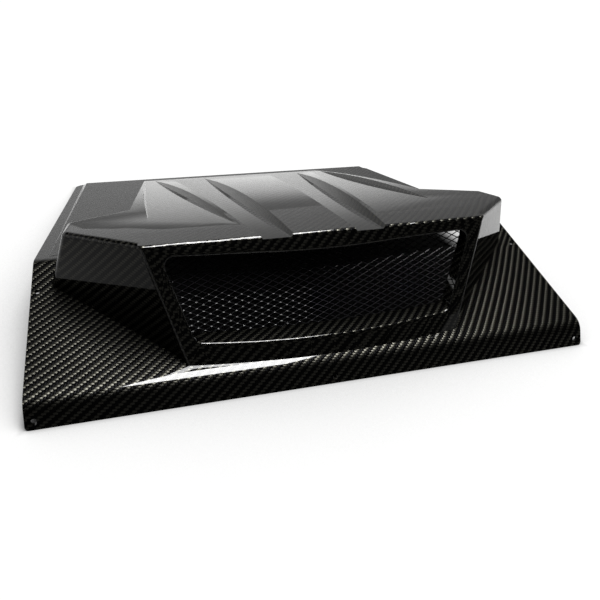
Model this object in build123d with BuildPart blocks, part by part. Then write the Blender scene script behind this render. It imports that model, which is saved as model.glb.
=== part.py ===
from build123d import *
import math
import os

# Bonnet scoop: one carbon-fibre moulding with a base flange and a raised, forward-facing
# mouth, and a sheet of expanded-metal mesh bonded behind the mouth.
# Millimetres. +Z is up and the mouth looks along -Y. The origin is on the surface that the
# scoop lies on, below the middle of its footprint.

# Flange: wide front lip, ramp up to a bend, then a long slope down to the rear edge
length = 384.0
front_width = 424.0
bend_width = 403.0
rear_width = 331.0
bend_back = 138.0
wall = 2.5
lip_height = 17.6
lip_lean = 7.0
ramp_rise = 30.9
lip_corner_radius = 3.0
lip_edge_radius = 13.0
bend_radius = 25.0
side_bend_radius = 30.0
rear_corner_radius = 12.0

# Roof: a shallow arch from the top of the mouth frame down to the rear panel
roof_front_back = 48.0
roof_front_height = 101.0
roof_rear_back = 368.0
roof_arch = 6.5

# Mouth frame: stands proud of the cheeks, bows forward at its foot
frame_top_width = 259.0
frame_foot_width = 210.0
frame_foot_back = 18.5
frame_foot_height = 20.5
frame_bow = 6.0
frame_top_bow = 0.5
frame_depth = 9.0
frame_step = 5.0
frame_edge_radius = 2.5

# Mouth opening in the frame's own slope, and the tunnel that carries the mesh
opening_top_width = 232.0
opening_foot_width = 194.0
opening_foot_rise = 15.7
opening_top_margin = 9.2
opening_corner_radius = 7.0
opening_brow_width = 100.0
opening_brow_drop = 2.5
opening_brow_sag = 1.6
opening_foot_sag = 3.8
opening_edge_radius = 1.2
tunnel_depth = 12.0

# Shoulders behind the cheeks
shoulder_top_width = 354.0
shoulder_top_back = 100.0
shoulder_foot_width = 380.0
shoulder_foot_back = 106.0
shoulder_foot_height = 43.5
crest_outer_width = 346.0
crest_outer_back = 129.0
crest_inner_width = 260.0
crest_inner_back = 157.0
crest_draft = 31.0
shoulder_corner_radius = 6.0
shoulder_edge_radius = 4.0

# Sides of the roof behind the shoulders
roof_side_front_width = 252.0
roof_side_front_back = 160.0
roof_side_rear_width = 198.0
roof_side_rear_back = 342.0
roof_side_draft = 28.0

# Rear panel: a low step inside the flange edge
panel_margin = 10.0
panel_step = 4.0
panel_draft = 50.0

# Roof relief: flat pockets at the sides, grooves beside the raised middle
pocket_inner_front = (56.0, 86.0)
pocket_outer_front = (116.0, 117.0)
pocket_inner_rear = (86.0, 351.0)
pocket_outer_rear = (97.0, 346.0)
groove_ridge_front = 47.0
groove_ridge_rear = 68.0
groove_middle_front = 23.0
groove_middle_rear = 35.0
groove_rear_back = 342.0
groove_front_depth = 2.5
relief_draft = 34.0

# Screw holes in the lip and in the side flanges
hole_diameter = 4.2
lip_hole_inset = 6.0
lip_hole_height = 5.0
side_hole_inset = 4.5
side_hole_back = 105.0

# Mesh: diamonds cut through a flat sheet
mesh_thickness = 1.2
mesh_long_pitch = 22.0
mesh_short_pitch = 11.0
mesh_strand = 1.8
mesh_border = 2.5

front = -length / 2
rear = length / 2
reach = length + front_width

# Slopes of the flange, worked out so that the rear edge lies on the ground
bend_height = lip_height + ramp_rise
rear_slope = bend_height / (length - bend_back)
rear_top = wall * math.sqrt(1 + rear_slope**2)


def flange_top(back):
    """Height of the rear slope's upper face, that far back from the foot of the lip."""
    return rear_top + (bend_height - rear_top) * (length - back) / (length - bend_back)


def panel_top(back):
    """Height of the rear panel, which rises out of the flange behind the bend."""
    panel_back = length - panel_margin
    return flange_top(back) + panel_step * (back - bend_back) / (panel_back - bend_back)


roof_rear_height = panel_top(roof_rear_back)
roof_run = roof_rear_back - roof_front_back
roof_fall = roof_front_height - roof_rear_height
roof_chord = math.hypot(roof_run, roof_fall)
roof_radius = (roof_chord**2 / 4 + roof_arch**2) / (2 * roof_arch)
# The arch's centre lies below the middle of its chord, square to it
roof_drop = roof_radius - roof_arch
roof_centre_back = (roof_front_back + roof_rear_back) / 2 - roof_drop * roof_fall / roof_chord
roof_centre_height = (roof_front_height + roof_rear_height) / 2 - roof_drop * roof_run / roof_chord


def roof_top(back):
    """Height of the arched roof, that far back from the foot of the lip."""
    return roof_centre_height + math.sqrt(roof_radius**2 - (back - roof_centre_back) ** 2)


def point(half_width, back, height):
    """A point on the right half, placed from the centre line, the lip's foot and the ground."""
    return Vector(half_width, front + back, height)


def draft_point(start, toward, angle, depth=10.0):
    """A point below a start point, moved toward a plan direction by a draft angle."""
    run = depth * math.tan(math.radians(angle))
    return start + Vector(*toward).normalized() * run - Vector(0, 0, depth)


def face_plane(a, b, c, inside):
    """Plane through three points whose normal points away from an inside point."""
    normal = (b - a).cross(c - a).normalized()
    if normal.dot(inside - a) > 0:
        normal = -normal
    return Plane(origin=a, x_dir=(b - a), z_dir=normal)


def trimmed(planes, inset):
    """Block cut by planes, each moved into the block by the inset."""
    with BuildPart() as block:
        Box(2 * reach, 2 * reach, 2 * reach)
        for plane in planes:
            split(bisect_by=plane.offset(-inset), keep=Keep.BOTTOM)
    return block.part


# Faces of the scoop body, right half
body_middle = point(0, 2 * roof_front_back, lip_height)
frame_foot = point(0, frame_foot_back, frame_foot_height)
frame_top = point(0, roof_front_back, roof_front_height)
step_back = Vector(0, frame_step, 0)
across = Vector(10, 0, 0)
body_foot = frame_foot + step_back
body_front = face_plane(body_foot, body_foot + across, frame_top + step_back, body_middle)

shoulder_top = point(shoulder_top_width / 2, shoulder_top_back, roof_top(shoulder_top_back))
shoulder_foot = point(shoulder_foot_width / 2, shoulder_foot_back, shoulder_foot_height)
crest_outer = point(crest_outer_width / 2, crest_outer_back, roof_top(crest_outer_back))
crest_inner = point(crest_inner_width / 2, crest_inner_back, roof_top(crest_inner_back))
cheek_foot = point(frame_foot_width / 2, frame_foot_back, frame_foot_height) + step_back
cheek_top = point(frame_top_width / 2, roof_front_back, roof_front_height) + step_back
cheek = face_plane(cheek_foot, cheek_top, shoulder_top, body_middle)
shoulder_side = face_plane(shoulder_top, shoulder_foot, crest_outer, body_middle)
crest_line = crest_outer - crest_inner
crest_foot = draft_point(crest_outer, (-crest_line.Y, crest_line.X, 0), crest_draft)
shoulder_rear = face_plane(crest_inner, crest_outer, crest_foot, body_middle)

side_front = point(
    roof_side_front_width / 2, roof_side_front_back, roof_top(roof_side_front_back)
)
side_rear = point(roof_side_rear_width / 2, roof_side_rear_back, roof_top(roof_side_rear_back))
side_foot = draft_point(side_front, (1, 0, 0), roof_side_draft)
roof_side = face_plane(side_front, side_rear, side_foot, body_middle)
roof_middle = Plane(origin=shoulder_top, x_dir=(1, 0, 0), z_dir=(0, -1, 0))

# Faces of the rear panel, right half
panel_middle = point(0, (bend_back + length) / 2, 0)
panel_rear_back = length - panel_margin
panel_front_back = bend_back + bend_radius / 3
panel_front_top = point(bend_width / 2 - panel_margin, bend_back, panel_top(bend_back))
panel_rear_top = point(rear_width / 2 - panel_margin, panel_rear_back, panel_top(panel_rear_back))
panel_rear_middle = point(0, panel_rear_back, panel_top(panel_rear_back))
panel_face = face_plane(panel_front_top, panel_rear_top, panel_rear_middle, panel_middle)
panel_side_foot = draft_point(panel_rear_top, (1, 0, 0), panel_draft)
panel_side = face_plane(panel_front_top, panel_rear_top, panel_side_foot, panel_middle)
panel_rear_foot = draft_point(panel_rear_top, (0, 1, 0), panel_draft)
panel_rear = face_plane(panel_rear_top, panel_rear_middle, panel_rear_foot, panel_middle)
panel_front = Plane(
    origin=point(0, panel_front_back, 0), x_dir=(1, 0, 0), z_dir=(0, -1, 0)
)

# Faces of the right pocket and groove, which are cut into the roof from above
pocket_points = [
    point(half, back, roof_top(back))
    for half, back in (pocket_inner_front, pocket_outer_front, pocket_inner_rear, pocket_outer_rear)
]
pocket_in_front, pocket_out_front, pocket_in_rear, pocket_out_rear = pocket_points
pocket_above = (pocket_in_front + pocket_out_rear) / 2 + Vector(0, 0, roof_front_height)
pocket_rear_middle = (pocket_in_rear + pocket_out_rear) / 2
pocket_floor = face_plane(pocket_in_front, pocket_out_front, pocket_rear_middle, pocket_above)
pocket_inner = face_plane(
    pocket_in_front, pocket_in_rear, draft_point(pocket_in_front, (1, 0, 0), relief_draft), pocket_above
)
pocket_outer = face_plane(
    pocket_out_front, pocket_out_rear, draft_point(pocket_out_front, (-1, 0, 0), relief_draft), pocket_above
)

groove_floor_front = point(0, roof_front_back, roof_front_height - groove_front_depth)
groove_floor_rear = point(0, groove_rear_back, roof_top(groove_rear_back))
groove_ridge = [
    point(groove_ridge_front, roof_front_back, roof_front_height),
    point(groove_ridge_rear, groove_rear_back, roof_top(groove_rear_back)),
]
groove_middle = [
    point(groove_middle_front, roof_front_back, roof_front_height),
    point(groove_middle_rear, groove_rear_back, roof_top(groove_rear_back)),
]
groove_above = (groove_ridge[0] + groove_middle[1]) / 2 + Vector(0, 0, roof_front_height)
groove_floor = face_plane(groove_floor_front, groove_floor_front + across, groove_floor_rear, groove_above)
groove_outer = face_plane(
    groove_ridge[0], groove_ridge[1], draft_point(groove_ridge[0], (-1, 0, 0), relief_draft), groove_above
)
groove_inner = face_plane(
    groove_middle[0], groove_middle[1], draft_point(groove_middle[0], (1, 0, 0), relief_draft), groove_above
)


def frame_block(inset):
    """Slab of the mouth frame, lofted from a bowed foot to a nearly straight top."""
    rise = roof_front_height - frame_foot_height
    lean = (roof_front_back - frame_foot_back) / rise
    splay = (frame_top_width - frame_foot_width) / 2 / rise
    with BuildPart() as slab:
        for height in (0.0, roof_front_height + 2 * wall):
            above = height - frame_foot_height
            half = frame_foot_width / 2 + splay * above - inset
            back = front + frame_foot_back + lean * above
            bow = frame_top_bow + (frame_bow - frame_top_bow) * max(0.0, 1 - above / rise)
            with BuildSketch(Plane.XY.offset(height)):
                with BuildLine():
                    ThreePointArc((-half, back + inset), (0, back - bow + inset), (half, back + inset))
                    Polyline(
                        (half, back + inset),
                        (half, back + frame_depth),
                        (-half, back + frame_depth),
                        (-half, back + inset),
                    )
                make_face()
        loft(ruled=True)
    return slab.part


def both_sides(planes, inset):
    """Block cut by planes on the right and by their mirror images on the left."""
    with BuildPart() as block:
        add(trimmed(planes, inset))
        mirror(about=Plane.YZ, mode=Mode.INTERSECT)
    return block.part


def relief(inset):
    """Cutters for the pockets and grooves, grown by a wall for the inside of the shell."""
    with BuildPart() as cutters:
        add(trimmed([pocket_floor, pocket_inner, pocket_outer], inset))
        add(trimmed([groove_floor, groove_inner, groove_outer], inset))
        mirror(about=Plane.YZ)
    return cutters.part


def on_roof(edge):
    """Whether an edge lies on the arched roof along its whole length."""
    places = [edge.position_at(share) for share in (0.0, 0.5, 1.0)]
    return all(abs(place.Z - roof_top(place.Y - front)) < wall / 50 for place in places)


def at_corner(edge):
    """Whether an edge runs down from one of a shoulder's two outer corners."""
    ends = [Vector(abs(end.X), end.Y, end.Z) for end in (edge.position_at(0), edge.position_at(1))]
    return any((end - corner).length < wall for end in ends for corner in (shoulder_top, crest_outer))


def on_shoulder(edge):
    """Whether an edge of the roof lies over a cheek or a shoulder."""
    return abs(edge.center().X) > side_front.X and edge.center().Y > cheek_top.Y


def under_roof(inset):
    """Side view of everything under the arched roof, or under its lower face."""
    inner_radius = roof_radius - inset

    def arch(back):
        rise = math.sqrt(inner_radius**2 - (back - roof_centre_back) ** 2)
        return (front + back, roof_centre_height + rise)

    with BuildSketch(Plane.YZ) as section:
        with BuildLine():
            ThreePointArc(arch(0), arch(length / 2), arch(length))
            Polyline(arch(length), (rear, -lip_height), (front, -lip_height), arch(0))
        make_face()
    return section.sketch


def mouth_frame(inset):
    """The frame's slab under the roof with rounded front edges, or its inside."""
    with BuildPart() as slab:
        add(frame_block(inset))
        extrude(under_roof(inset), amount=reach, both=True, mode=Mode.INTERSECT)
        if inset == 0:
            front_face = slab.faces().sort_by(lambda face: face.normal_at().Y)[0]
            fillet(front_face.edges().sort_by(Axis.Z)[1:], frame_edge_radius)
    return slab.part


def shoulders(inset):
    """Cheeks and shoulders as one block with rounded corners and top edges, or its inside."""
    with BuildPart() as block:
        add(both_sides([body_front, cheek, shoulder_side, shoulder_rear], inset))
        extrude(under_roof(inset), amount=reach, both=True, mode=Mode.INTERSECT)
        if inset == 0:
            fillet(block.edges().filter_by(GeomType.LINE).filter_by(at_corner), shoulder_corner_radius)
            fillet(block.edges().filter_by(on_roof).filter_by(on_shoulder), shoulder_edge_radius)
    return block.part


def body(inset):
    """The raised scoop body as a filled solid, or its inside where an inset is given."""
    with BuildPart() as solid:
        add(both_sides([roof_middle, roof_side, panel_rear], inset))
        extrude(under_roof(inset), amount=reach, both=True, mode=Mode.INTERSECT)
        add(shoulders(inset))
        add(mouth_frame(inset))
        add(relief(-inset), mode=Mode.SUBTRACT)
    return solid.part


def panel(inset):
    """The low step of the rear panel as a filled solid, or its inside."""
    return both_sides([panel_face, panel_side, panel_rear, panel_front], inset)


def flange_section(inset):
    """Side view of everything under the flange's upper face, or under its lower face."""
    drop = length / 10
    crease = (front + lip_lean, lip_height)
    bend = (front + bend_back, bend_height)
    with BuildSketch(Plane.YZ) as section:
        with BuildLine():
            Polyline(
                (front - lip_lean * drop / lip_height, -drop),
                crease,
                bend,
                (rear + drop, flange_top(length + drop)),
                (rear + drop, -drop),
                close=True,
            )
        make_face()
        fillet(section.vertices().sort_by_distance(crease)[0], lip_edge_radius)
        fillet(section.vertices().sort_by_distance(bend)[0], bend_radius)
        if inset > 0:
            offset(amount=-inset, mode=Mode.REPLACE)
    return section.sketch


# Mouth opening, drawn on the slope of the frame
frame_slope = (frame_top - frame_foot).normalized()
mouth_plane = Plane(origin=frame_foot, x_dir=(1, 0, 0), z_dir=Vector(1, 0, 0).cross(frame_slope))
opening_top_rise = (frame_top - frame_foot).length - opening_top_margin
opening_height = opening_top_rise - opening_foot_rise


def mouth_outline(plane, margin):
    """The opening's outline: a trapezoid whose upper edge dips between two small kinks."""
    brow_half = opening_brow_width / 2
    top_half = opening_top_width / 2
    foot_half = opening_foot_width / 2
    brow = opening_top_rise - opening_brow_drop
    with BuildSketch(plane) as outline:
        with BuildLine():
            Polyline((brow_half, brow), (top_half, opening_top_rise), (foot_half, opening_foot_rise))
            ThreePointArc(
                (foot_half, opening_foot_rise),
                (0, opening_foot_rise - opening_foot_sag),
                (-foot_half, opening_foot_rise),
            )
            Polyline((-foot_half, opening_foot_rise), (-top_half, opening_top_rise), (-brow_half, brow))
            ThreePointArc((-brow_half, brow), (0, brow - opening_brow_sag), (brow_half, brow))
        make_face()
        corners = outline.vertices().sort_by(lambda vertex: abs(vertex.X))[-4:]
        fillet(corners, opening_corner_radius)
        if margin > 0:
            offset(amount=margin, mode=Mode.REPLACE)
    return outline.sketch


# The tunnel runs straight back from the opening, inside the body
tunnel_rear = Plane(
    origin=frame_foot + Vector(0, tunnel_depth, 0), x_dir=(1, 0, 0), z_dir=mouth_plane.z_dir
)
tunnel_run = tunnel_depth + 2 * frame_bow
with BuildPart() as tunnel:
    extrude(mouth_outline(tunnel_rear, wall), amount=tunnel_run, dir=(0, -1, 0))
    add(body(0), mode=Mode.INTERSECT)


def ahead_of_tunnel(edge):
    """Whether an edge lies wholly in front of the tunnel's rear rim."""
    ends = [edge.position_at(0), edge.position_at(1)]
    return all((end - tunnel_rear.origin).dot(tunnel_rear.z_dir) > wall for end in ends)


# The moulding: filled forms joined, then hollowed from below to one wall thickness
with BuildPart() as scoop_shell:
    extrude(flange_section(0), amount=reach, both=True)
    with BuildSketch(Plane.XY) as plan:
        with BuildLine():
            Polyline(
                (front_width / 2, front - length / 10),
                (front_width / 2, front),
                (bend_width / 2, front + bend_back),
                (rear_width / 2, rear),
                (-rear_width / 2, rear),
                (-bend_width / 2, front + bend_back),
                (-front_width / 2, front),
                (-front_width / 2, front - length / 10),
                close=True,
            )
        make_face()
        fillet(plan.vertices().group_by(Axis.Y)[-1], rear_corner_radius)
        side_bends = plan.vertices().filter_by(lambda vertex: abs(vertex.Y - front - bend_back) < wall)
        fillet(side_bends, side_bend_radius)
    extrude(amount=reach, both=True, mode=Mode.INTERSECT)
    add(body(0))
    add(panel(0))
    with BuildSketch(Plane.XZ) as front_view:
        Rectangle(front_width, reach, align=(Align.CENTER, Align.MIN))
        fillet(front_view.vertices().group_by(Axis.Y)[0], lip_corner_radius)
    extrude(amount=reach, both=True, mode=Mode.INTERSECT)
    extrude(flange_section(wall), amount=reach, both=True, mode=Mode.SUBTRACT)
    add(body(wall), mode=Mode.SUBTRACT)
    add(panel(wall), mode=Mode.SUBTRACT)
    add(tunnel.part)
    extrude(mouth_outline(tunnel_rear, 0), amount=tunnel_run, dir=(0, -1, 0), mode=Mode.SUBTRACT)
    fillet(scoop_shell.edges(Select.LAST).filter_by(ahead_of_tunnel), opening_edge_radius)
    with Locations(Plane(origin=point(0, -wall, lip_hole_height), x_dir=(1, 0, 0), z_dir=(0, -1, 0))):
        with GridLocations(front_width / 2 - lip_hole_inset, 1, 3, 1):
            Hole(radius=hole_diameter / 2, depth=lip_lean + 3 * wall)
    flange_half = (front_width + (bend_width - front_width) * side_hole_back / bend_back) / 2
    with Locations(Plane(origin=point(0, side_hole_back, bend_height + wall))):
        with GridLocations(2 * (flange_half - side_hole_inset), 1, 2, 1):
            Hole(radius=hole_diameter / 2, depth=bend_height)

# The mesh: whole diamonds inside the opening, in rows set off by half a pitch
strand_angle = math.atan2(mesh_short_pitch, mesh_long_pitch)
gap_half_long = mesh_long_pitch / 2 - mesh_strand / 2 / math.sin(strand_angle)
gap_half_short = mesh_short_pitch / 2 - mesh_strand / 2 / math.cos(strand_angle)
mesh_foot = opening_foot_rise + mesh_border + gap_half_short
mesh_top = opening_top_rise - opening_brow_drop - opening_brow_sag - mesh_border - gap_half_short
row_count = int((mesh_top - mesh_foot) / (mesh_short_pitch / 2)) + 1
mesh_middle = (mesh_foot + mesh_top) / 2
gap_places = []
for row in range(row_count):
    rise = mesh_middle + (row - (row_count - 1) / 2) * mesh_short_pitch / 2
    splay = (opening_top_width - opening_foot_width) / 2 / opening_height
    half_room = opening_foot_width / 2 + splay * (rise - opening_foot_rise) - mesh_border - gap_half_long
    shift = (row % 2) * mesh_long_pitch / 2
    steps = int((half_room - shift) / mesh_long_pitch)
    for step in range(-steps - row % 2, steps + 1):
        gap_places.append((shift + step * mesh_long_pitch, rise))

with BuildPart() as mesh_grille:
    extrude(mouth_outline(tunnel_rear, wall), amount=-mesh_thickness)
    with BuildSketch(tunnel_rear):
        with Locations(*gap_places):
            Polygon(
                (gap_half_long, 0),
                (0, gap_half_short),
                (-gap_half_long, 0),
                (0, -gap_half_short),
            )
    extrude(amount=-mesh_thickness, mode=Mode.SUBTRACT)

scoop_shell.part.label = "scoop_shell"
mesh_grille.part.label = "mesh_grille"
os.makedirs("parts", exist_ok=True)
export_step(scoop_shell.part, "parts/scoop_shell.step")
export_step(mesh_grille.part, "parts/mesh_grille.step")
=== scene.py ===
"""Looks of a carbon-fibre bonnet scoop: woven moulding, expanded-metal mesh and a studio stage."""

import math

import bmesh
import bpy
from bpy.props import FloatProperty, FloatVectorProperty, PointerProperty
from mathutils import Matrix, Vector
from mathutils.geometry import convex_hull_2d


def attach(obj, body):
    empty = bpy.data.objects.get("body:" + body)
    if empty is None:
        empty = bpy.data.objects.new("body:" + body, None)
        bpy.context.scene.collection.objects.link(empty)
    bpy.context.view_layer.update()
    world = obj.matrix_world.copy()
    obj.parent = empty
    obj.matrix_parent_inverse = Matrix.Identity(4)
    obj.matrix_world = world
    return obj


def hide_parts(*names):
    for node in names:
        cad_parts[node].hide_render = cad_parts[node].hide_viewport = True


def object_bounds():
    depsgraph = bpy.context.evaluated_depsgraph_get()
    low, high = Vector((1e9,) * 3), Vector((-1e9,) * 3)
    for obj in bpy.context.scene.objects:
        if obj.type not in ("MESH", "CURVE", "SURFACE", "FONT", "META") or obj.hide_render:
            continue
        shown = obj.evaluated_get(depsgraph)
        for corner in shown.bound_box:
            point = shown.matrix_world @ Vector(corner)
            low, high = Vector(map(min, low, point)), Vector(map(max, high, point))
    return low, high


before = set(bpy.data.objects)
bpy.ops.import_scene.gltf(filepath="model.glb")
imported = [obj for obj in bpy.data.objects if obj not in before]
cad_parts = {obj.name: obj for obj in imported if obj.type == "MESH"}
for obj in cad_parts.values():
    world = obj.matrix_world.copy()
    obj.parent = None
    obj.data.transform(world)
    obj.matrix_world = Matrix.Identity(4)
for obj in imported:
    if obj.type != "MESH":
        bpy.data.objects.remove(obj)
CAD_BOX = [list(corner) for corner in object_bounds()]

bl_info = {
    "name": "Bonnet scoop",
    "version": (1, 0, 0),
    "blender": (4, 5, 0),
    "location": "View3D > Sidebar > Bonnet scoop",
    "description": "Builds the woven moulding, the mesh and the stage of a bonnet scoop",
    "category": "Object",
}

UP = Vector((0, 0, 1))

# Limits for cleaning up triangles and outlines, in metres
MERGE_DISTANCE = 0.00002
SLIVER_LENGTH = 0.00001
SHORTEST_SIDE = 1e-7
FLAT_ANGLE = math.radians(0.3)

# A two-by-two twill repeats every four tows, and each float passes over two
TWILL_REPEAT = 4
FLOAT_TOWS = 2

# A normal map stores half of each slope, counted from this value
LEVEL_SLOPE = 0.5

# Most of a noise texture's values lie between these
NOISE_RANGE = (0.3, 0.7)


def linear(code):
    """Linear RGBA of an sRGB hex colour, by the standard's own curve."""
    parts = [int(code[place:place + 2], 16) / 255 for place in (1, 3, 5)]
    parts = [part / 12.92 if part <= 0.04045 else ((part + 0.055) / 1.055) ** 2.4 for part in parts]
    return (*parts, 1.0)


def add_node(tree, kind, inputs=None, **settings):
    """Adds a node, sets its settings, and links or fills its inputs.

    Inputs are a list in the order of the sockets, or a dictionary by name or number. A Mix node has
    its factor at 0, then pairs: numbers at 2 and 3, vectors at 4 and 5, colours at 6 and 7.
    A Map Range node takes its value, the range that it comes from and the range that it goes to.
    """
    node = tree.nodes.new(kind)
    for name, value in settings.items():
        setattr(node, name, value)
    pairs = enumerate(inputs) if isinstance(inputs, (list, tuple)) else (inputs or {}).items()
    for key, value in pairs:
        if isinstance(value, bpy.types.Node):
            tree.links.new(value.outputs[0], node.inputs[key])
        elif isinstance(value, bpy.types.NodeSocket):
            tree.links.new(value, node.inputs[key])
        else:
            node.inputs[key].default_value = value
    return node


def new_material(name):
    """An empty node material, with its output node."""
    material = bpy.data.materials.new(name)
    material.use_nodes = True
    material.node_tree.nodes.clear()
    return material, add_node(material.node_tree, "ShaderNodeOutputMaterial")


def place_piece(name, bm, material):
    """Turns a bmesh into a piece that rides on the scoop."""
    mesh = bpy.data.meshes.new(name)
    bm.to_mesh(mesh)
    bm.free()
    mesh.materials.append(material)
    piece = bpy.data.objects.new(name, mesh)
    bpy.context.scene.collection.objects.link(piece)
    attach(piece, "root")
    return piece


class CarbonShellSettings(bpy.types.PropertyGroup):
    """Sizes and colours of the woven moulding."""

    tow_width: FloatProperty(
        name="Tow width", description="Width of one flat bundle of fibres", default=0.00186,
        precision=5, subtype="DISTANCE", unit="LENGTH",
    )
    tow_curve: FloatProperty(
        name="Tow curve", description="Slope of a tow's rounded flank at its edge",
        default=0.12, min=0.0, max=1.0,
    )
    tow_crimp: FloatProperty(
        name="Tow crimp", description="Slope of a tow where it dives under its neighbours",
        default=0.2, min=0.0, max=1.0,
    )
    tow_roughness: FloatVectorProperty(
        name="Tow roughness", description="Roughness of the smoothest and the roughest fibres",
        default=(0.34, 0.42), size=2, min=0.0, max=1.0,
    )
    # Painted shade in the valleys between tows and at the ends of each float, over some dark resin
    painted_shade_rise: FloatProperty(
        name="Valley rise", description="Share of a tow's height up to which resin darkens it",
        default=0.5, min=0.0, max=1.0,
    )
    painted_valley_shade: FloatProperty(
        name="Valley shade", description="Brightness that the resin leaves at the bottom of a valley",
        default=0.12, min=0.0, max=1.0,
    )
    fibre_width: FloatProperty(
        name="Fibre width", description="Width of the drawn fibres", default=0.000093,
        precision=6, subtype="DISTANCE", unit="LENGTH",
    )
    fibre_length: FloatProperty(
        name="Fibre length", description="Length over which a drawn fibre keeps its shade", default=0.00465,
        precision=5, subtype="DISTANCE", unit="LENGTH",
    )
    fibre_shade: FloatVectorProperty(
        name="Fibre shade", description="Brightness of the darkest and the lightest fibres",
        default=(0.75, 1.15), size=2, min=0.0,
    )
    crease_angle: FloatProperty(
        name="Crease angle", description="Faces that meet more sharply than this keep a crisp edge",
        default=math.radians(24), subtype="ANGLE", unit="ROTATION",
    )
    fillet_angle: FloatProperty(
        name="Fillet angle", description="Sharpest angle between two strips of a rounded edge",
        default=math.radians(50), subtype="ANGLE", unit="ROTATION",
    )
    fillet_width: FloatProperty(
        name="Fillet width", description="Widest strip of a rounded edge", default=0.0024,
        precision=4, subtype="DISTANCE", unit="LENGTH",
    )
    plan_angle: FloatProperty(
        name="Plan angle", description="Faces that slope less than this take the cloth in plan",
        default=math.radians(60), subtype="ANGLE", unit="ROTATION",
    )
    cloth_fan: FloatProperty(
        name="Cloth fan", description="How much the warp closes up towards the rear, per metre",
        default=1.19,
    )
    cloth_bow: FloatProperty(
        name="Cloth bow", description="How much the weft bows towards the rear at the sides, per metre",
        default=0.6,
    )
    fan_reach: FloatProperty(
        name="Fan reach", description="How far back from the lip the warp closes up", default=0.1,
        subtype="DISTANCE", unit="LENGTH",
    )
    lip_height: FloatProperty(
        name="Lip height", description="Height at which the ramp meets the lip", default=0.0176,
        precision=4, subtype="DISTANCE", unit="LENGTH",
    )
    lip_lean: FloatProperty(
        name="Lip lean", description="How far the lip leans back over that height", default=0.007,
        precision=4, subtype="DISTANCE", unit="LENGTH",
    )
    lip_depth: FloatProperty(
        name="Lip depth", description="How far back the lip's rounded edge reaches", default=0.0115,
        precision=4, subtype="DISTANCE", unit="LENGTH",
    )
    lip_turn: FloatProperty(
        name="Lip turn", description="Cloth taken up for each length that the lip drops below the ramp",
        default=0.746,
    )
    ramp_slope: FloatProperty(
        name="Ramp slope", description="Rise of the ramp for its length", default=0.236,
    )
    # Painted light: weft and warp are the same fibres; the weft's colour is painted lighter as its sheen and
    # the warp's darker as its shade
    weft_colour_painted_lit: FloatVectorProperty(
        name="Weft colour", description="Tows that run across the scoop", default=linear("#4b4a44"),
        size=4, min=0.0, max=1.0, subtype="COLOR",
    )
    warp_colour_painted_shaded: FloatVectorProperty(
        name="Warp colour", description="Tows that run along the scoop", default=linear("#0f0f10"),
        size=4, min=0.0, max=1.0, subtype="COLOR",
    )
    edge_colour: FloatVectorProperty(
        name="Edge colour", description="Tint of the tows' shine at a glancing angle",
        default=linear("#898989"), size=4, min=0.0, max=1.0, subtype="COLOR",
    )


class MeshGrilleSettings(bpy.types.PropertyGroup):
    """Sizes and colours of the expanded-metal mesh."""

    long_pitch: FloatProperty(
        name="Long pitch", description="Width of a diamond from knuckle to knuckle", default=0.0093,
        precision=5, subtype="DISTANCE", unit="LENGTH",
    )
    short_pitch: FloatProperty(
        name="Short pitch", description="Height of a diamond from knuckle to knuckle", default=0.00465,
        precision=5, subtype="DISTANCE", unit="LENGTH",
    )
    strand_width: FloatProperty(
        name="Strand width", description="Width of a strand", default=0.0006,
        precision=5, subtype="DISTANCE", unit="LENGTH",
    )
    strand_overlap: FloatProperty(
        name="Strand overlap", description="Share of its width by which a strand runs past its ends",
        default=0.6, min=0.0, max=1.0,
    )
    strand_thickness: FloatProperty(
        name="Strand thickness", description="Thickness of the slit sheet", default=0.0005,
        precision=5, subtype="DISTANCE", unit="LENGTH",
    )
    strand_twist: FloatProperty(
        name="Strand twist", description="Tilt that stretching leaves in each strand",
        default=math.radians(33), subtype="ANGLE", unit="ROTATION",
    )
    knuckle_length: FloatProperty(
        name="Knuckle length", description="Length of the flat where two strands join", default=0.0013,
        precision=5, subtype="DISTANCE", unit="LENGTH",
    )
    knuckle_width: FloatProperty(
        name="Knuckle width", description="Width of the flat where two strands join", default=0.0009,
        precision=5, subtype="DISTANCE", unit="LENGTH",
    )
    knuckle_twist: FloatProperty(
        name="Knuckle twist", description="Tilt that stretching leaves where two strands join",
        default=math.radians(40), subtype="ANGLE", unit="ROTATION",
    )
    coating_colour: FloatVectorProperty(
        name="Coating colour", description="Black coating of the mesh", default=linear("#121213"),
        size=4, min=0.0, max=1.0, subtype="COLOR",
    )
    coating_roughness: FloatVectorProperty(
        name="Coating roughness", description="Roughness of the smoothest and the roughest grains",
        default=(0.07, 0.12), size=2, min=0.0, max=1.0,
    )
    grain_size: FloatProperty(
        name="Grain size", description="Width of a grain in the coating", default=0.0003,
        precision=5, subtype="DISTANCE", unit="LENGTH",
    )
    grain_height: FloatProperty(
        name="Grain height", description="Height of a grain in the coating", default=0.00005,
        precision=6, subtype="DISTANCE", unit="LENGTH",
    )
    dust_size: FloatProperty(
        name="Dust size", description="Width of a dusty patch", default=0.012,
        precision=4, subtype="DISTANCE", unit="LENGTH",
    )
    dust_gain: FloatProperty(
        name="Dust gain", description="How many times lighter than the coating the dust is",
        default=2.2, min=1.0,
    )


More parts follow.
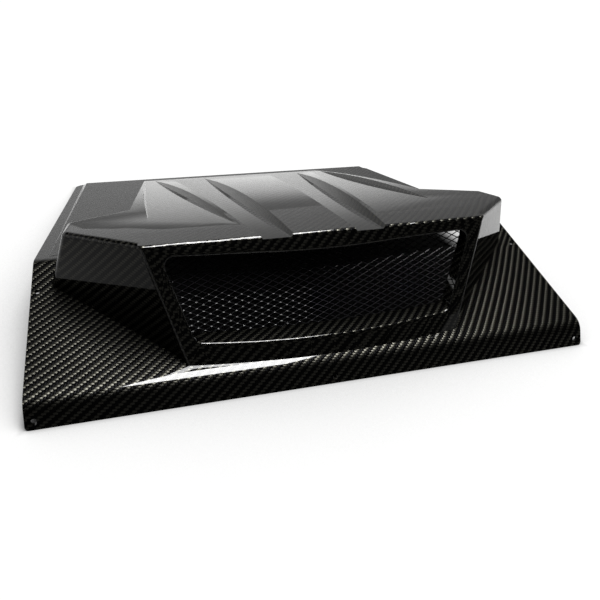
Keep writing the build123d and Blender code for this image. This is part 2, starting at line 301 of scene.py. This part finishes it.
class StageSettings(bpy.types.PropertyGroup):
    """Floor, light and camera."""

    floor_size: FloatProperty(
        name="Floor size", description="Side of the square floor", default=12.0,
        subtype="DISTANCE", unit="LENGTH",
    )
    floor_colour: FloatVectorProperty(
        name="Floor colour", description="Pale paper that the scoop lies on", default=linear("#f4f4f3"),
        size=4, min=0.0, max=1.0, subtype="COLOR",
    )
    floor_glow: FloatProperty(
        name="Floor glow", description="How white the lit paper is by itself, where 1 is white",
        default=0.86, min=0.0, max=1.0,
    )
    glow_span: FloatVectorProperty(
        name="Glow span",
        description="Distances from the scoop's middle at which the glow starts to grow and is white",
        default=(0.3, 1.2), size=2, min=0.0, unit="LENGTH",
    )
    mirrored_glow: FloatProperty(
        name="Mirrored glow", description="Share of that glow that shows in reflections",
        default=0.2, min=0.0, max=1.0,
    )
    # Painted shadow: these dim the paper's glow near and under the scoop
    shadow_reach: FloatProperty(
        name="Shadow reach", description="How far the scoop dims the paper beside it", default=0.4,
        subtype="DISTANCE", unit="LENGTH",
    )
    shadow_span: FloatVectorProperty(
        name="Shadow span", description="Shares of open sky at which the paper's glow starts and is whole",
        default=(0.3, 0.95), size=2, min=0.0, max=1.0,
    )
    footprint_half_width: FloatProperty(
        name="Footprint half width", description="Half the scoop's width midway along it", default=0.189,
        precision=3, subtype="DISTANCE", unit="LENGTH",
    )
    footprint_half_length: FloatProperty(
        name="Footprint half length", description="Half the scoop's length", default=0.19,
        precision=3, subtype="DISTANCE", unit="LENGTH",
    )
    footprint_taper: FloatProperty(
        name="Footprint taper", description="How much each side draws in towards the rear, per metre",
        default=0.118,
    )
    footprint_edge: FloatVectorProperty(
        name="Footprint edge", description="Shares of the footprint at which the glow starts and is whole",
        default=(0.95, 1.03), size=2, min=0.0,
    )
    # Painted shade: the paper that lights the scoop and shows in it is darker towards the front
    floor_bounce: FloatProperty(
        name="Floor bounce", description="Share of the paper's colour that lights the scoop",
        default=0.56, min=0.0, max=1.0,
    )
    fade_way: FloatVectorProperty(
        name="Fade way", description="The way in which the paper that lights the scoop grows brighter",
        default=(0.35, 1.0, 0.0), size=3, subtype="XYZ",
    )
    fade_span: FloatVectorProperty(
        name="Fade span", description="Where that brightening starts and ends, measured along the way",
        default=(-0.3, 0.15), size=2, unit="LENGTH",
    )
    back_wall: FloatProperty(
        name="Back wall", description="Brightness of the wall behind the scoop",
        default=0.45, min=0.0, max=1.0,
    )
    front_wall: FloatProperty(
        name="Front wall", description="Brightness of the room behind the camera",
        default=0.005, min=0.0, max=1.0,
    )
    ceiling: FloatProperty(
        name="Ceiling", description="Brightness of the ceiling", default=0.015, min=0.0, max=1.0,
    )
    side_walls: FloatVectorProperty(
        name="Side walls", description="Factors on the walls' brightness at the left and at the right",
        default=(1.6, 0.5), size=2, min=0.0,
    )
    side_span: FloatVectorProperty(
        name="Side span", description="Rightward parts of a direction between which the walls grow darker",
        default=(-0.3, 0.5), size=2, min=-1.0, max=1.0,
    )
    depth_span: FloatVectorProperty(
        name="Depth span", description="Rearward parts of a direction between which the walls grow brighter",
        default=(-0.2, 0.35), size=2, min=-1.0, max=1.0,
    )
    height_span: FloatVectorProperty(
        name="Height span", description="Upward parts of a direction between which walls turn to ceiling",
        default=(0.33, 0.65), size=2, min=-1.0, max=1.0,
    )
    key_place: FloatVectorProperty(
        name="Key place", description="Where the softbox hangs", default=(0.105, -0.07, 1.0),
        size=3, subtype="TRANSLATION", unit="LENGTH",
    )
    key_width: FloatProperty(
        name="Key width", description="Width of the softbox's face", default=0.35,
        subtype="DISTANCE", unit="LENGTH",
    )
    key_length: FloatProperty(
        name="Key length", description="Length of the softbox's face", default=0.86,
        subtype="DISTANCE", unit="LENGTH",
    )
    key_turn: FloatProperty(
        name="Key turn", description="Turn of the softbox about the vertical",
        default=math.radians(-9), subtype="ANGLE", unit="ROTATION",
    )
    key_radiance: FloatProperty(
        name="Key brightness", description="Brightness of the softbox's face", default=22.0, min=0.0,
    )
    focal_length: FloatProperty(
        name="Focal length", description="Lens of the camera in millimetres", default=43.861,
    )
    sensor_width: FloatProperty(
        name="Sensor width", description="Width of the camera's sensor in millimetres", default=36.0,
    )
    nearest_view: FloatProperty(
        name="Nearest view", description="Nearest distance that the camera sees", default=0.01,
        subtype="DISTANCE", unit="LENGTH",
    )
    camera_place: FloatVectorProperty(
        name="Camera place", description="Where the camera stands", default=(-0.1583, -0.5822, 0.3357),
        size=3, subtype="TRANSLATION", unit="LENGTH",
    )
    camera_turn: FloatVectorProperty(
        name="Camera turn", description="Yaw to the right, pitch down and roll of the camera",
        default=(math.radians(20.758), math.radians(31.455), math.radians(-4.562)),
        size=3, subtype="EULER", unit="ROTATION",
    )
    camera_shift: FloatVectorProperty(
        name="Camera shift", description="Shift of the frame, in frame widths",
        default=(-0.05, -0.015), size=2,
    )


def drape_cloth(tree, settings):
    """Places on the cloth, counted in tows.

    As the cloth drapes over the scoop, the warp closes up towards the rear and the weft bows.
    """
    cloth = add_node(tree, "ShaderNodeUVMap", uv_map="cloth")
    flat = add_node(tree, "ShaderNodeSeparateXYZ", [cloth])
    back = add_node(tree, "ShaderNodeMath", [flat.outputs["Y"], settings.fan_reach], operation="MINIMUM")
    closing = add_node(tree, "ShaderNodeMath", [back, settings.cloth_fan, 1.0], operation="MULTIPLY_ADD")
    warp_place = add_node(tree, "ShaderNodeMath", [flat.outputs["X"], closing], operation="MULTIPLY")
    aside = add_node(tree, "ShaderNodeMath", [flat.outputs["X"], 2.0], operation="POWER")
    weft_place = add_node(
        tree, "ShaderNodeMath", [aside, -settings.cloth_bow / 2, flat.outputs["Y"]], operation="MULTIPLY_ADD"
    )
    draped = add_node(tree, "ShaderNodeCombineXYZ", [warp_place, weft_place])
    per_tow = 1 / settings.tow_width
    return add_node(tree, "ShaderNodeVectorMath", [draped, (per_tow, per_tow, 0)], operation="MULTIPLY")


def weave_twill(tree, tows):
    """Whether the weft is on top, how far along its float the top tow is, and how far across it."""
    whole = add_node(tree, "ShaderNodeVectorMath", [tows], operation="FLOOR")
    cell = add_node(tree, "ShaderNodeSeparateXYZ", [whole])
    rest = add_node(tree, "ShaderNodeVectorMath", [tows], operation="FRACTION")
    within = add_node(tree, "ShaderNodeSeparateXYZ", [rest])
    # Each row of the twill starts one tow further along, so the floats climb in diagonal lines
    step = add_node(tree, "ShaderNodeMath", [cell.outputs["X"], cell.outputs["Y"]], operation="SUBTRACT")
    phase = add_node(tree, "ShaderNodeMath", [step, TWILL_REPEAT], operation="FLOORED_MODULO")
    weft = add_node(tree, "ShaderNodeMath", [phase, FLOAT_TOWS], operation="LESS_THAN")
    weft_run = add_node(tree, "ShaderNodeMath", [phase, within.outputs["X"]], operation="ADD")
    warp_phase = add_node(tree, "ShaderNodeMath", [TWILL_REPEAT - 1, phase], operation="SUBTRACT")
    warp_run = add_node(tree, "ShaderNodeMath", [warp_phase, within.outputs["Y"]], operation="ADD")
    run = add_node(tree, "ShaderNodeMix", {0: weft, 2: warp_run, 3: weft_run}, data_type="FLOAT")
    across = add_node(
        tree, "ShaderNodeMix", {0: weft, 2: within.outputs["X"], 3: within.outputs["Y"]}, data_type="FLOAT"
    )
    return weft, run, across


def twill_carbon(settings):
    """Woven carbon fibre under a moulded gel-clear coat.

    Flat tows in a two-by-two twill shine along their rounded backs, with the weft's sheen and the
    warp's shade painted into their colours, and the smooth coat above mirrors the room sharply.
    """
    material, output = new_material("twill_carbon_clear_coat")
    tree = material.node_tree
    tows = drape_cloth(tree, settings)
    weft, run, across = weave_twill(tree, tows)

    # Slopes of a tow's back: rounded across its width, dipping at both ends of a float
    run_angle = add_node(tree, "ShaderNodeMath", [run, math.pi / FLOAT_TOWS], operation="MULTIPLY")
    across_angle = add_node(tree, "ShaderNodeMath", [across, math.pi], operation="MULTIPLY")
    run_cosine = add_node(tree, "ShaderNodeMath", [run_angle], operation="COSINE")
    across_cosine = add_node(tree, "ShaderNodeMath", [across_angle], operation="COSINE")
    dip = add_node(tree, "ShaderNodeMath", [run_cosine, -settings.tow_crimp / 2], operation="MULTIPLY")
    flank = add_node(tree, "ShaderNodeMath", [across_cosine, -settings.tow_curve / 2], operation="MULTIPLY")
    slope_u = add_node(tree, "ShaderNodeMix", {0: weft, 2: flank, 3: dip}, data_type="FLOAT")
    slope_v = add_node(tree, "ShaderNodeMix", {0: weft, 2: dip, 3: flank}, data_type="FLOAT")
    stored_u = add_node(tree, "ShaderNodeMath", [slope_u, LEVEL_SLOPE], operation="ADD")
    stored_v = add_node(tree, "ShaderNodeMath", [slope_v, LEVEL_SLOPE], operation="ADD")
    tilt = add_node(tree, "ShaderNodeCombineXYZ", [stored_u, stored_v, 1.0])
    tow_normal = add_node(tree, "ShaderNodeNormalMap", {"Color": tilt}, space="TANGENT", uv_map="cloth")

    # Painted shade darkens the valleys between tows and the ends where a float dives, where dark resin also
    # shows
    across_rise = add_node(tree, "ShaderNodeMath", [across_angle], operation="SINE")
    run_rise = add_node(tree, "ShaderNodeMath", [run_angle], operation="SINE")
    rise = add_node(tree, "ShaderNodeMath", [across_rise, run_rise], operation="MULTIPLY")
    shade = add_node(
        tree, "ShaderNodeMapRange", [rise, 0.0, settings.painted_shade_rise, settings.painted_valley_shade, 1.0]
    )

    # Real fibres are too fine to show, so about twenty are drawn across each tow
    along = settings.tow_width / settings.fibre_length
    athwart = settings.tow_width / settings.fibre_width
    weft_fibres = add_node(tree, "ShaderNodeVectorMath", [tows, (along, athwart, 0)], operation="MULTIPLY")
    warp_fibres = add_node(tree, "ShaderNodeVectorMath", [tows, (athwart, along, 0)], operation="MULTIPLY")
    fibre_place = add_node(
        tree, "ShaderNodeMix", {0: weft, 4: warp_fibres, 5: weft_fibres}, data_type="VECTOR"
    )
    fibres = add_node(
        tree, "ShaderNodeTexNoise", {"Vector": fibre_place.outputs[1], "Scale": 1.0, "Detail": 2.0}
    )
    fibre_shade = add_node(tree, "ShaderNodeMapRange", [fibres, *NOISE_RANGE, *settings.fibre_shade])
    roughness = add_node(tree, "ShaderNodeMapRange", [fibres, *NOISE_RANGE, *settings.tow_roughness])

    both = add_node(tree, "ShaderNodeMath", [shade, fibre_shade], operation="MULTIPLY")
    # Painted light: the weft takes the lit colour and the warp the shaded one
    colour = add_node(
        tree,
        "ShaderNodeMix",
        {0: weft, 6: tuple(settings.warp_colour_painted_shaded), 7: tuple(settings.weft_colour_painted_lit)},
        data_type="RGBA",
    )
    painted_tow_colour = add_node(
        tree, "ShaderNodeVectorMath", {0: colour.outputs[2], "Scale": both}, operation="SCALE"
    )
    surface = add_node(
        tree,
        "ShaderNodeBsdfPrincipled",
        {
            "Base Color": painted_tow_colour,
            "Metallic": 1.0,
            "Roughness": roughness,
            "Specular Tint": tuple(settings.edge_colour),
            "Normal": tow_normal,
            "Coat Weight": 1.0,
            "Coat Roughness": 0.03,
            "Coat IOR": 1.5,
        },
    )
    tree.links.new(surface.outputs[0], output.inputs[0])
    return material


def coated_mesh_metal(settings):
    """Expanded aluminium with a satin black coating, which leaves small bright glints on its strands."""
    material, output = new_material("satin_black_expanded_metal")
    tree = material.node_tree
    place = add_node(tree, "ShaderNodeTexCoord").outputs["Object"]
    grain = add_node(
        tree, "ShaderNodeTexNoise", {"Vector": place, "Scale": 1 / settings.grain_size, "Detail": 2.0}
    )
    bump = add_node(
        tree, "ShaderNodeBump", {"Strength": 0.15, "Distance": settings.grain_height, "Height": grain}
    )
    roughness = add_node(tree, "ShaderNodeMapRange", [grain, *NOISE_RANGE, *settings.coating_roughness])
    coating = tuple(settings.coating_colour)
    dusty = tuple(min(1.0, settings.dust_gain * part) for part in coating)
    patches = add_node(
        tree, "ShaderNodeTexNoise", {"Vector": place, "Scale": 1 / settings.dust_size, "Detail": 3.0}
    )
    colour = add_node(tree, "ShaderNodeMix", {0: patches, 6: coating, 7: dusty}, data_type="RGBA")
    surface = add_node(
        tree,
        "ShaderNodeBsdfPrincipled",
        {"Base Color": colour.outputs[2], "Roughness": roughness, "IOR": 1.4, "Normal": bump},
    )
    tree.links.new(surface.outputs[0], output.inputs[0])
    return material


def lay_cloth(bm, settings):
    """Gives each face a place on the cloth.

    Faces that look up or down take it in plan, and the lip takes the cloth on over its rounded edge.
    Steep faces take it along their slope.
    """
    layer = bm.loops.layers.uv.new("cloth")
    front = CAD_BOX[0][1]
    for face in bm.faces:
        normal = face.normal
        middle = face.calc_center_median()
        on_lip = middle.y < front + settings.lip_depth and middle.z < settings.lip_height
        if on_lip or abs(normal.z) > math.cos(settings.plan_angle):
            for loop in face.loops:
                x, y, z = loop.vert.co
                ramp = settings.lip_height + (y - front - settings.lip_lean) * settings.ramp_slope
                below = max(0.0, ramp - z) if on_lip else 0.0
                loop[layer].uv = (x, y - front - below * settings.lip_turn)
            continue
        level = UP.cross(normal).normalized()
        if level.x < 0:
            level.negate()
        upward = (UP - normal * normal.z).normalized()
        for loop in face.loops:
            loop[layer].uv = (loop.vert.co.dot(level), loop.vert.co.dot(upward))


def strip_width(face):
    """Width of a long face."""
    return 2 * face.calc_area() / face.calc_perimeter()


class SCOOP_OT_carbon_shell(bpy.types.Operator):
    """Lay woven carbon over the moulding"""

    bl_idname = "scoop.carbon_shell"
    bl_label = "Carbon moulding"

    def execute(self, context):
        settings = context.scene.scoop_carbon
        bm = bmesh.new()
        bm.from_mesh(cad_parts["scoop_shell"].data)
        bmesh.ops.remove_doubles(bm, verts=bm.verts, dist=MERGE_DISTANCE)
        bmesh.ops.dissolve_degenerate(bm, edges=bm.edges, dist=SLIVER_LENGTH)
        bmesh.ops.dissolve_limit(bm, angle_limit=FLAT_ANGLE, verts=bm.verts, edges=bm.edges)
        # Narrow strips that bulge are rounded edges, and stay smooth at sharper angles
        for edge in bm.edges:
            narrowest = min(strip_width(face) for face in edge.link_faces)
            rounded = narrowest < settings.fillet_width and edge.is_convex
            limit = settings.fillet_angle if rounded else settings.crease_angle
            edge.smooth = edge.calc_face_angle(0.0) < limit
        for face in bm.faces:
            face.smooth = True
        lay_cloth(bm, settings)
        piece = place_piece("carbon_shell", bm, twill_carbon(settings))
        # The solid's own normals give way to ones that keep flat faces flat
        if "custom_normal" in piece.data.attributes:
            piece.data.attributes.remove(piece.data.attributes["custom_normal"])
        flat = piece.modifiers.new("flat_faces_stay_flat", "WEIGHTED_NORMAL")
        flat.keep_sharp = True
        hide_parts("scoop_shell")
        return {"FINISHED"}


def everything_in(bm):
    """All vertices, edges and faces of a bmesh."""
    return bm.verts[:] + bm.edges[:] + bm.faces[:]


def copy_parts(bm, parts):
    """Copies parts of a bmesh, and gives the copy's vertices and faces."""
    made = bmesh.ops.duplicate(bm, geom=parts)["geom"]
    verts = [part for part in made if isinstance(part, bmesh.types.BMVert)]
    faces = [part for part in made if isinstance(part, bmesh.types.BMFace)]
    return verts, faces


def add_bar(bm, length, width, thickness, tilt):
    """A flat bar along X, tilted about its length."""
    verts = bmesh.ops.create_cube(bm, size=1.0)["verts"]
    bmesh.ops.scale(bm, verts=verts, vec=(length, width, thickness))
    bmesh.ops.rotate(bm, verts=verts, matrix=Matrix.Rotation(-tilt, 3, "X"))
    return verts


def stretch_diamonds(bm, settings, low, high, reach):
    """Fills the sheet's plane with diamonds, from low to high and as far as reach to either side."""
    half_long = settings.long_pitch / 2
    half_short = settings.short_pitch / 2
    slant = math.atan2(half_short, half_long)
    length = math.hypot(half_long, half_short) + settings.strand_width * settings.strand_overlap
    thickness = settings.strand_thickness

    # One strand, from one knuckle up to the next
    strand = add_bar(bm, length, settings.strand_width, thickness, settings.strand_twist)
    bmesh.ops.rotate(bm, verts=strand, matrix=Matrix.Rotation(slant, 3, "Z"))
    bmesh.ops.translate(bm, verts=strand, vec=(half_long / 2, half_short / 2, 0))

    # Its mirror image and a knuckle make a pair, pairs make a row, and rows shifted in turn make diamonds
    verts, faces = copy_parts(bm, everything_in(bm))
    bmesh.ops.scale(bm, verts=verts, vec=(-1, 1, 1))
    bmesh.ops.reverse_faces(bm, faces=faces)
    add_bar(bm, settings.knuckle_length, settings.knuckle_width, thickness, settings.knuckle_twist)
    pair = everything_in(bm)
    pairs_aside = int(reach / settings.long_pitch) + 1
    for step in range(-pairs_aside, pairs_aside + 1):
        if step != 0:
            verts, _ = copy_parts(bm, pair)
            bmesh.ops.translate(bm, verts=verts, vec=(step * settings.long_pitch, 0, 0))
    bmesh.ops.translate(bm, verts=bm.verts, vec=(0, low, 0))
    row = everything_in(bm)
    for step in range(1, int((high - low) / half_short) + 1):
        verts, _ = copy_parts(bm, row)
        shift = half_long if step % 2 else 0.0
        bmesh.ops.translate(bm, verts=verts, vec=(shift, step * half_short, 0))


def trim_to(bm, outline, middle):
    """Cuts flat diamonds to a convex outline around a point, and closes the cut strands."""
    for start, end in zip(outline, outline[1:] + outline[:1]):
        side = Vector((end.y - start.y, start.x - end.x))
        if side.length < SHORTEST_SIDE:
            continue
        if side.dot(start - middle) < 0:
            side.negate()
        cut = bmesh.ops.bisect_plane(
            bm, geom=everything_in(bm), plane_co=start.to_3d(), plane_no=side.to_3d(), clear_outer=True
        )
        rim = [part for part in cut["geom_cut"] if isinstance(part, bmesh.types.BMEdge)]
        bmesh.ops.holes_fill(bm, edges=rim, sides=0)


class SCOOP_OT_mesh_grille(bpy.types.Operator):
    """Stretch the diamond mesh behind the mouth"""

    bl_idname = "scoop.mesh_grille"
    bl_label = "Mesh"

    def execute(self, context):
        settings = context.scene.scoop_mesh
        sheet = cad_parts["mesh_grille"].data
        widest = max(sheet.polygons, key=lambda polygon: polygon.area)
        forward = widest.normal.copy()
        if forward.y > 0:
            forward.negate()
        across = Vector((1, 0, 0))
        upward = forward.cross(across).normalized()
        depths = [vertex.co.dot(forward) for vertex in sheet.vertices]
        middle_depth = (min(depths) + max(depths)) / 2
        spots = [Vector((vertex.co.dot(across), vertex.co.dot(upward))) for vertex in sheet.vertices]
        # The outline that seats on the tunnel's rim
        outline = [spots[place] for place in convex_hull_2d(spots)]
        low = min(spot.y for spot in outline)
        high = max(spot.y for spot in outline)
        reach = max(spot.x for spot in outline)

        bm = bmesh.new()
        stretch_diamonds(bm, settings, low, high, reach)
        trim_to(bm, outline, Vector((0, (low + high) / 2)))
        turn = Matrix((across, upward, forward)).transposed()
        bmesh.ops.rotate(bm, verts=bm.verts, matrix=turn)
        bmesh.ops.translate(bm, verts=bm.verts, vec=forward * middle_depth)
        piece = place_piece("diamond_mesh", bm, coated_mesh_metal(settings))
        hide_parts("mesh_grille")
        return {"FINISHED"}


def clear_of_painted_shadow(tree, place, settings):
    """Painted shadow: 0 on the paper that the scoop covers, rising to 1 at the edge of its footprint.

    The footprint tapers from a half width of 0.212 m at the lip to 0.167 m at the rear.
    """
    spot = add_node(tree, "ShaderNodeSeparateXYZ", [place])
    aside = add_node(tree, "ShaderNodeMath", [spot.outputs["X"]], operation="ABSOLUTE")
    straightened = add_node(
        tree, "ShaderNodeMath", [spot.outputs["Y"], settings.footprint_taper, aside], operation="MULTIPLY_ADD"
    )
    sideways = add_node(
        tree, "ShaderNodeMath", [straightened, settings.footprint_half_width], operation="DIVIDE"
    )
    along = add_node(tree, "ShaderNodeMath", [spot.outputs["Y"]], operation="ABSOLUTE")
    endways = add_node(tree, "ShaderNodeMath", [along, settings.footprint_half_length], operation="DIVIDE")
    outward = add_node(tree, "ShaderNodeMath", [sideways, endways], operation="MAXIMUM")
    return add_node(tree, "ShaderNodeMapRange", [outward, *settings.footprint_edge, 0.0, 1.0])


def paper_floor(settings):
    """Matt white studio paper that glows a little: it stays white, keeps the soft shadow that the softbox
    casts, and has a painted shadow in its glow near and under the scoop.
    """
    material, output = new_material("matt_white_paper")
    tree = material.node_tree
    place = add_node(tree, "ShaderNodeTexCoord").outputs["Object"]
    path = add_node(tree, "ShaderNodeLightPath")
    seen = path.outputs["Is Camera Ray"]
    mirrored = add_node(
        tree,
        "ShaderNodeMath",
        [path.outputs["Is Glossy Ray"], path.outputs["Is Transmission Ray"]],
        operation="MAXIMUM",
    )
    shown = add_node(
        tree, "ShaderNodeMath", [mirrored, settings.mirrored_glow, seen], operation="MULTIPLY_ADD"
    )

    # Painted shadow: the glow is whole away from the scoop, dimmed by ambient occlusion beside it, and none
    # where the scoop covers the paper
    away = add_node(tree, "ShaderNodeVectorMath", [place], operation="LENGTH")
    glow = add_node(
        tree,
        "ShaderNodeMapRange",
        [away.outputs["Value"], *settings.glow_span, settings.floor_glow, 1.0],
        interpolation_type="SMOOTHSTEP",
    )
    open_sky = add_node(tree, "ShaderNodeAmbientOcclusion", {"Distance": settings.shadow_reach}, samples=8)
    unshaded = add_node(
        tree, "ShaderNodeMapRange", [open_sky.outputs["AO"], *settings.shadow_span, 0.0, 1.0]
    )
    beside = clear_of_painted_shadow(tree, place, settings)
    reached = add_node(tree, "ShaderNodeMath", [unshaded, beside], operation="MULTIPLY")
    glow_under_painted_shadow = add_node(tree, "ShaderNodeMath", [glow, reached], operation="MULTIPLY")
    strength = add_node(tree, "ShaderNodeMath", [glow_under_painted_shadow, shown], operation="MULTIPLY")

    # Painted shade: in reflections and bounce the paper's colour fades towards the front, standing in for the
    # dark room there that the real scoop mirrors
    rearward = add_node(
        tree, "ShaderNodeVectorMath", [place, tuple(settings.fade_way)], operation="DOT_PRODUCT"
    )
    fade = add_node(
        tree,
        "ShaderNodeMapRange",
        [rearward.outputs["Value"], *settings.fade_span, settings.front_wall, settings.floor_bounce],
        interpolation_type="SMOOTHSTEP",
    )
    share = add_node(
        tree, "ShaderNodeMix", {0: seen, 2: fade, 3: 1 - settings.floor_glow}, data_type="FLOAT"
    )
    colour = add_node(
        tree, "ShaderNodeVectorMath", {0: tuple(settings.floor_colour[:3]), "Scale": share}, operation="SCALE"
    )
    surface = add_node(
        tree,
        "ShaderNodeBsdfPrincipled",
        {
            "Base Color": colour,
            "Roughness": 0.9,
            "Specular IOR Level": 0.0,
            "Emission Color": linear("#ffffff"),
            "Emission Strength": strength,
        },
    )
    tree.links.new(surface.outputs[0], output.inputs[0])
    return material


def lay_paper(scene, settings):
    """A square of paper under the scoop."""
    bm = bmesh.new()
    bmesh.ops.create_grid(bm, x_segments=1, y_segments=1, size=settings.floor_size / 2)
    mesh = bpy.data.meshes.new("floor")
    bm.to_mesh(mesh)
    bm.free()
    mesh.materials.append(paper_floor(settings))
    floor = bpy.data.objects.new("floor", mesh)
    floor.location.z = CAD_BOX[0][2]
    scene.collection.objects.link(floor)


def studio_world(settings):
    """White walls behind and beside the scoop under a dark ceiling, with the dark room behind the camera."""
    world = bpy.data.worlds.new("studio")
    world.use_nodes = True
    tree = world.node_tree
    tree.nodes.clear()
    place = add_node(tree, "ShaderNodeTexCoord")
    direction = add_node(tree, "ShaderNodeSeparateXYZ", [place.outputs["Generated"]])
    low = add_node(
        tree,
        "ShaderNodeMapRange",
        [direction.outputs["Z"], *settings.height_span, 1.0, 0.0],
        interpolation_type="SMOOTHSTEP",
    )
    behind = add_node(
        tree,
        "ShaderNodeMapRange",
        [direction.outputs["Y"], *settings.depth_span, settings.front_wall, settings.back_wall],
        interpolation_type="SMOOTHSTEP",
    )
    beside = add_node(
        tree, "ShaderNodeMapRange", [direction.outputs["X"], *settings.side_span, *settings.side_walls]
    )
    sides = add_node(tree, "ShaderNodeMath", [low, beside], operation="MULTIPLY")
    walls = add_node(tree, "ShaderNodeMath", [sides, behind], operation="MULTIPLY")
    room = add_node(tree, "ShaderNodeMath", [walls, settings.ceiling], operation="MAXIMUM")
    path = add_node(tree, "ShaderNodeLightPath")
    strength = add_node(
        tree, "ShaderNodeMix", {0: path.outputs["Is Camera Ray"], 2: room, 3: 1.0}, data_type="FLOAT"
    )
    background = add_node(
        tree, "ShaderNodeBackground", {"Color": linear("#ffffff"), "Strength": strength}
    )
    output = add_node(tree, "ShaderNodeOutputWorld")
    tree.links.new(background.outputs[0], output.inputs[0])
    return world


def hang_softbox(scene, settings):
    """A rectangular softbox that faces straight down; its power follows from its area and brightness."""
    light = bpy.data.lights.new("key_softbox", "AREA")
    light.shape = "RECTANGLE"
    light.size = settings.key_width
    light.size_y = settings.key_length
    light.energy = settings.key_radiance * math.pi * settings.key_width * settings.key_length
    lamp = bpy.data.objects.new("key_softbox", light)
    lamp.location = settings.key_place
    lamp.rotation_euler.z = settings.key_turn
    scene.collection.objects.link(lamp)


def aim_camera(scene, settings):
    """A camera at the photograph's viewing angle, turned by its yaw, pitch and roll."""
    yaw, pitch, roll = settings.camera_turn
    ahead = Vector((math.sin(yaw) * math.cos(pitch), math.cos(yaw) * math.cos(pitch), -math.sin(pitch)))
    right = Vector((math.cos(yaw), -math.sin(yaw), 0))
    down = ahead.cross(right)
    image_right = math.cos(roll) * right + math.sin(roll) * down
    image_down = -math.sin(roll) * right + math.cos(roll) * down
    turn = Matrix((image_right, -image_down, -ahead)).transposed()
    camera_data = bpy.data.cameras.new("camera")
    camera_data.lens = settings.focal_length
    camera_data.sensor_width = settings.sensor_width
    camera_data.shift_x, camera_data.shift_y = settings.camera_shift
    camera_data.clip_start = settings.nearest_view
    camera = bpy.data.objects.new("camera", camera_data)
    camera.matrix_world = Matrix.Translation(settings.camera_place) @ turn.to_4x4()
    scene.collection.objects.link(camera)
    scene.camera = camera


class SCOOP_OT_stage(bpy.types.Operator):
    """Set up floor, light and camera"""

    bl_idname = "scoop.stage"
    bl_label = "Stage"

    def execute(self, context):
        scene = context.scene
        settings = scene.scoop_stage
        lay_paper(scene, settings)
        scene.world = studio_world(settings)
        hang_softbox(scene, settings)
        aim_camera(scene, settings)
        scene.view_settings.view_transform = "Standard"
        return {"FINISHED"}


class SCOOP_PT_build(bpy.types.Panel):
    """Lists the pieces of the scoop"""

    bl_idname = "SCOOP_PT_build"
    bl_label = "Bonnet scoop"
    bl_space_type = "VIEW_3D"
    bl_region_type = "UI"
    bl_category = "Bonnet scoop"

    def draw(self, context):
        column = self.layout.column()
        for operator in OPERATORS:
            column.operator(operator.bl_idname)
        for group in (context.scene.scoop_carbon, context.scene.scoop_mesh, context.scene.scoop_stage):
            box = column.box()
            for name in group.__annotations__:
                box.prop(group, name)


OPERATORS = (SCOOP_OT_carbon_shell, SCOOP_OT_mesh_grille, SCOOP_OT_stage)
CLASSES = (CarbonShellSettings, MeshGrilleSettings, StageSettings, *OPERATORS, SCOOP_PT_build)


def register():
    for cls in CLASSES:
        bpy.utils.register_class(cls)
    bpy.types.Scene.scoop_carbon = PointerProperty(type=CarbonShellSettings)
    bpy.types.Scene.scoop_mesh = PointerProperty(type=MeshGrilleSettings)
    bpy.types.Scene.scoop_stage = PointerProperty(type=StageSettings)


def unregister():
    del bpy.types.Scene.scoop_carbon
    del bpy.types.Scene.scoop_mesh
    del bpy.types.Scene.scoop_stage
    for cls in reversed(CLASSES):
        bpy.utils.unregister_class(cls)


def main():
    register()
    bpy.ops.scoop.carbon_shell()
    bpy.ops.scoop.mesh_grille()
    bpy.ops.scoop.stage()
    bpy.context.view_layer.update()


if __name__ == "__main__":
    main()
